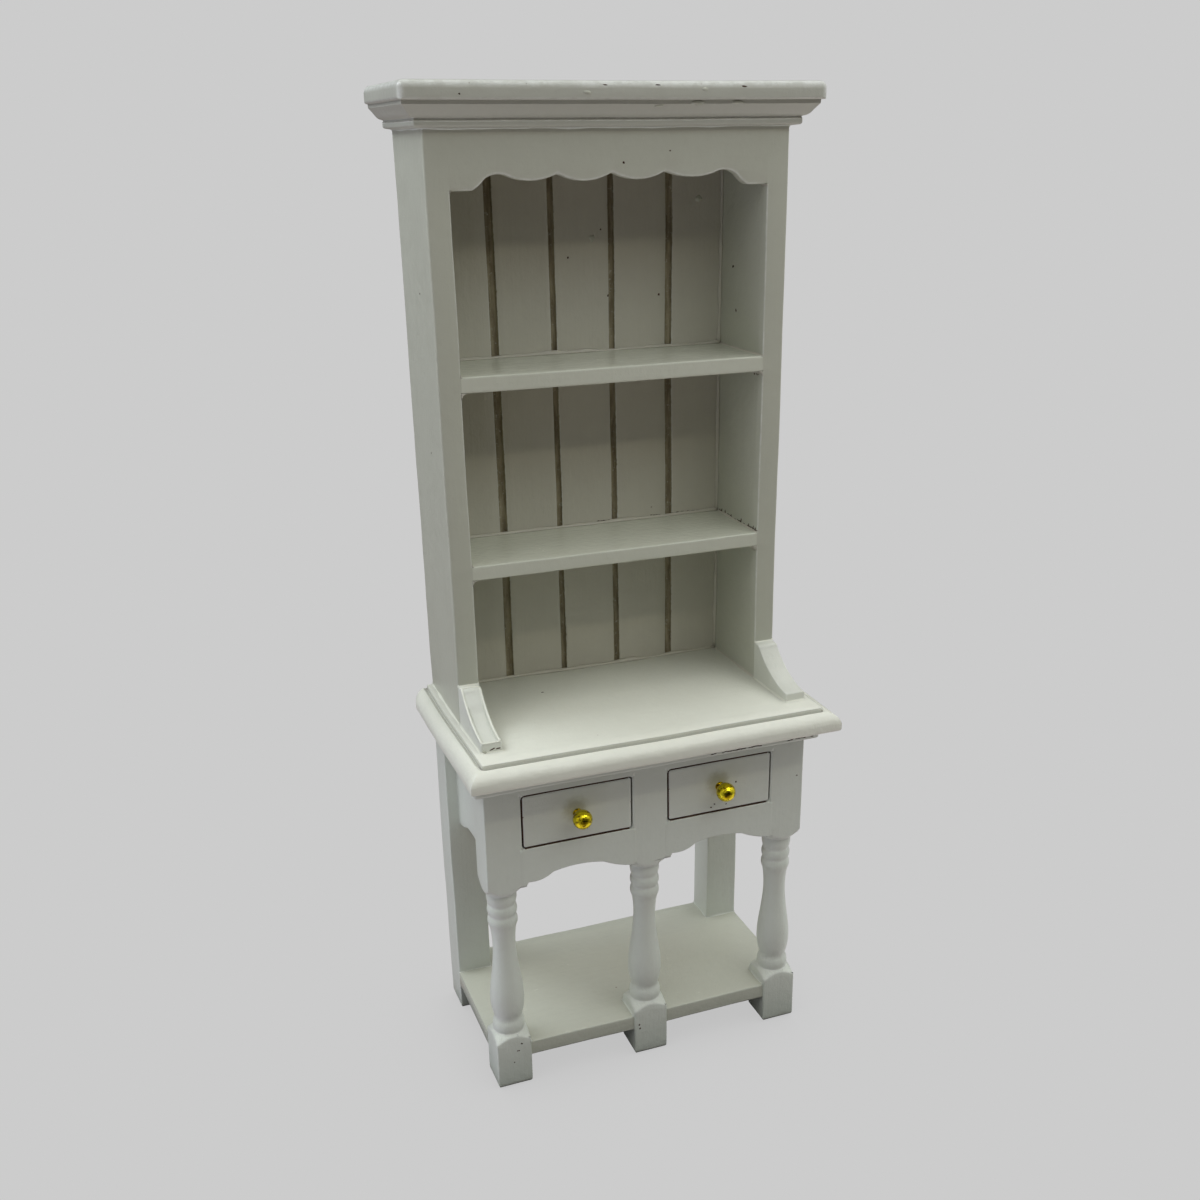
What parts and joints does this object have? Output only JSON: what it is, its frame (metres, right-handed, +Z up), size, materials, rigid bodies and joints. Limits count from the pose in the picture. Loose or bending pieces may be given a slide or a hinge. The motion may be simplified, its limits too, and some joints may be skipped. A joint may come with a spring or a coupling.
{
  "type": "miniature dresser bookcase",
  "caption": "White painted dolls house dresser: hutch with shelves and grooved back over a base with sliding drawers, turned front legs and a pot board.",
  "frame": {"origin": "floor level at the centre of the footprint, which is also the plane of the front of the hutch", "axes": "+Z up from the feet to the top board, +X to the object's right as seen from the front, -Y out of the front where the drawers open"},
  "size_m": [0.0728, 0.0432, 0.18],
  "materials": {
    "white_paint": "hand-brushed satin off-white paint over fine wood, soft rounded edges",
    "panel_paint": "satin off-white paint, with bare brown wood showing in the grooves",
    "bare_wood": "unpainted fine-grained wood",
    "gold_plating": "polished gold-coloured plating"
  },
  "bodies": {
    "carcass": {"back_rail": "white_paint", "bottom_shelf": "white_paint", "cornice_front_moulding": "white_paint", "cornice_left_moulding": "white_paint", "cornice_right_moulding": "white_paint", "cornice_top_board": "white_paint", "counter_subtop": "white_paint", "counter_top": "white_paint", "dust_board": "bare_wood", "front_left_apron": "white_paint", "front_left_leg": "white_paint", "front_left_top_rail": "white_paint", "front_middle_leg": "white_paint", "front_right_apron": "white_paint", "front_right_leg": "white_paint", "front_right_top_rail": "white_paint", "hutch_back_panel": "panel_paint", "hutch_left_side": "white_paint", "hutch_right_side": "white_paint", "hutch_valance": "white_paint", "left_counter_bracket": "white_paint", "left_drawer_guide": "bare_wood", "left_side_rail": "white_paint", "lower_shelf": "white_paint", "middle_drawer_guide": "bare_wood", "rear_left_leg": "white_paint", "rear_right_leg": "white_paint", "right_counter_bracket": "white_paint", "right_drawer_guide": "bare_wood", "right_side_rail": "white_paint", "upper_shelf": "white_paint"},
    "left_drawer": {"left_drawer_back": "bare_wood", "left_drawer_bottom": "bare_wood", "left_drawer_front": "white_paint", "left_drawer_knob": "gold_plating", "left_drawer_left_side": "bare_wood", "left_drawer_right_side": "bare_wood"},
    "right_drawer": {"right_drawer_back": "bare_wood", "right_drawer_bottom": "bare_wood", "right_drawer_front": "white_paint", "right_drawer_knob": "gold_plating", "right_drawer_left_side": "bare_wood", "right_drawer_right_side": "bare_wood"}
  },
  "joints": [
    {"name": "left_drawer_slide", "type": "slide", "parent": "carcass", "child": "left_drawer", "axis": [0, -1, 0], "range_m": [0, 0.02]},
    {"name": "right_drawer_slide", "type": "slide", "parent": "carcass", "child": "right_drawer", "axis": [0, -1, 0], "range_m": [0, 0.02]}
  ]
}
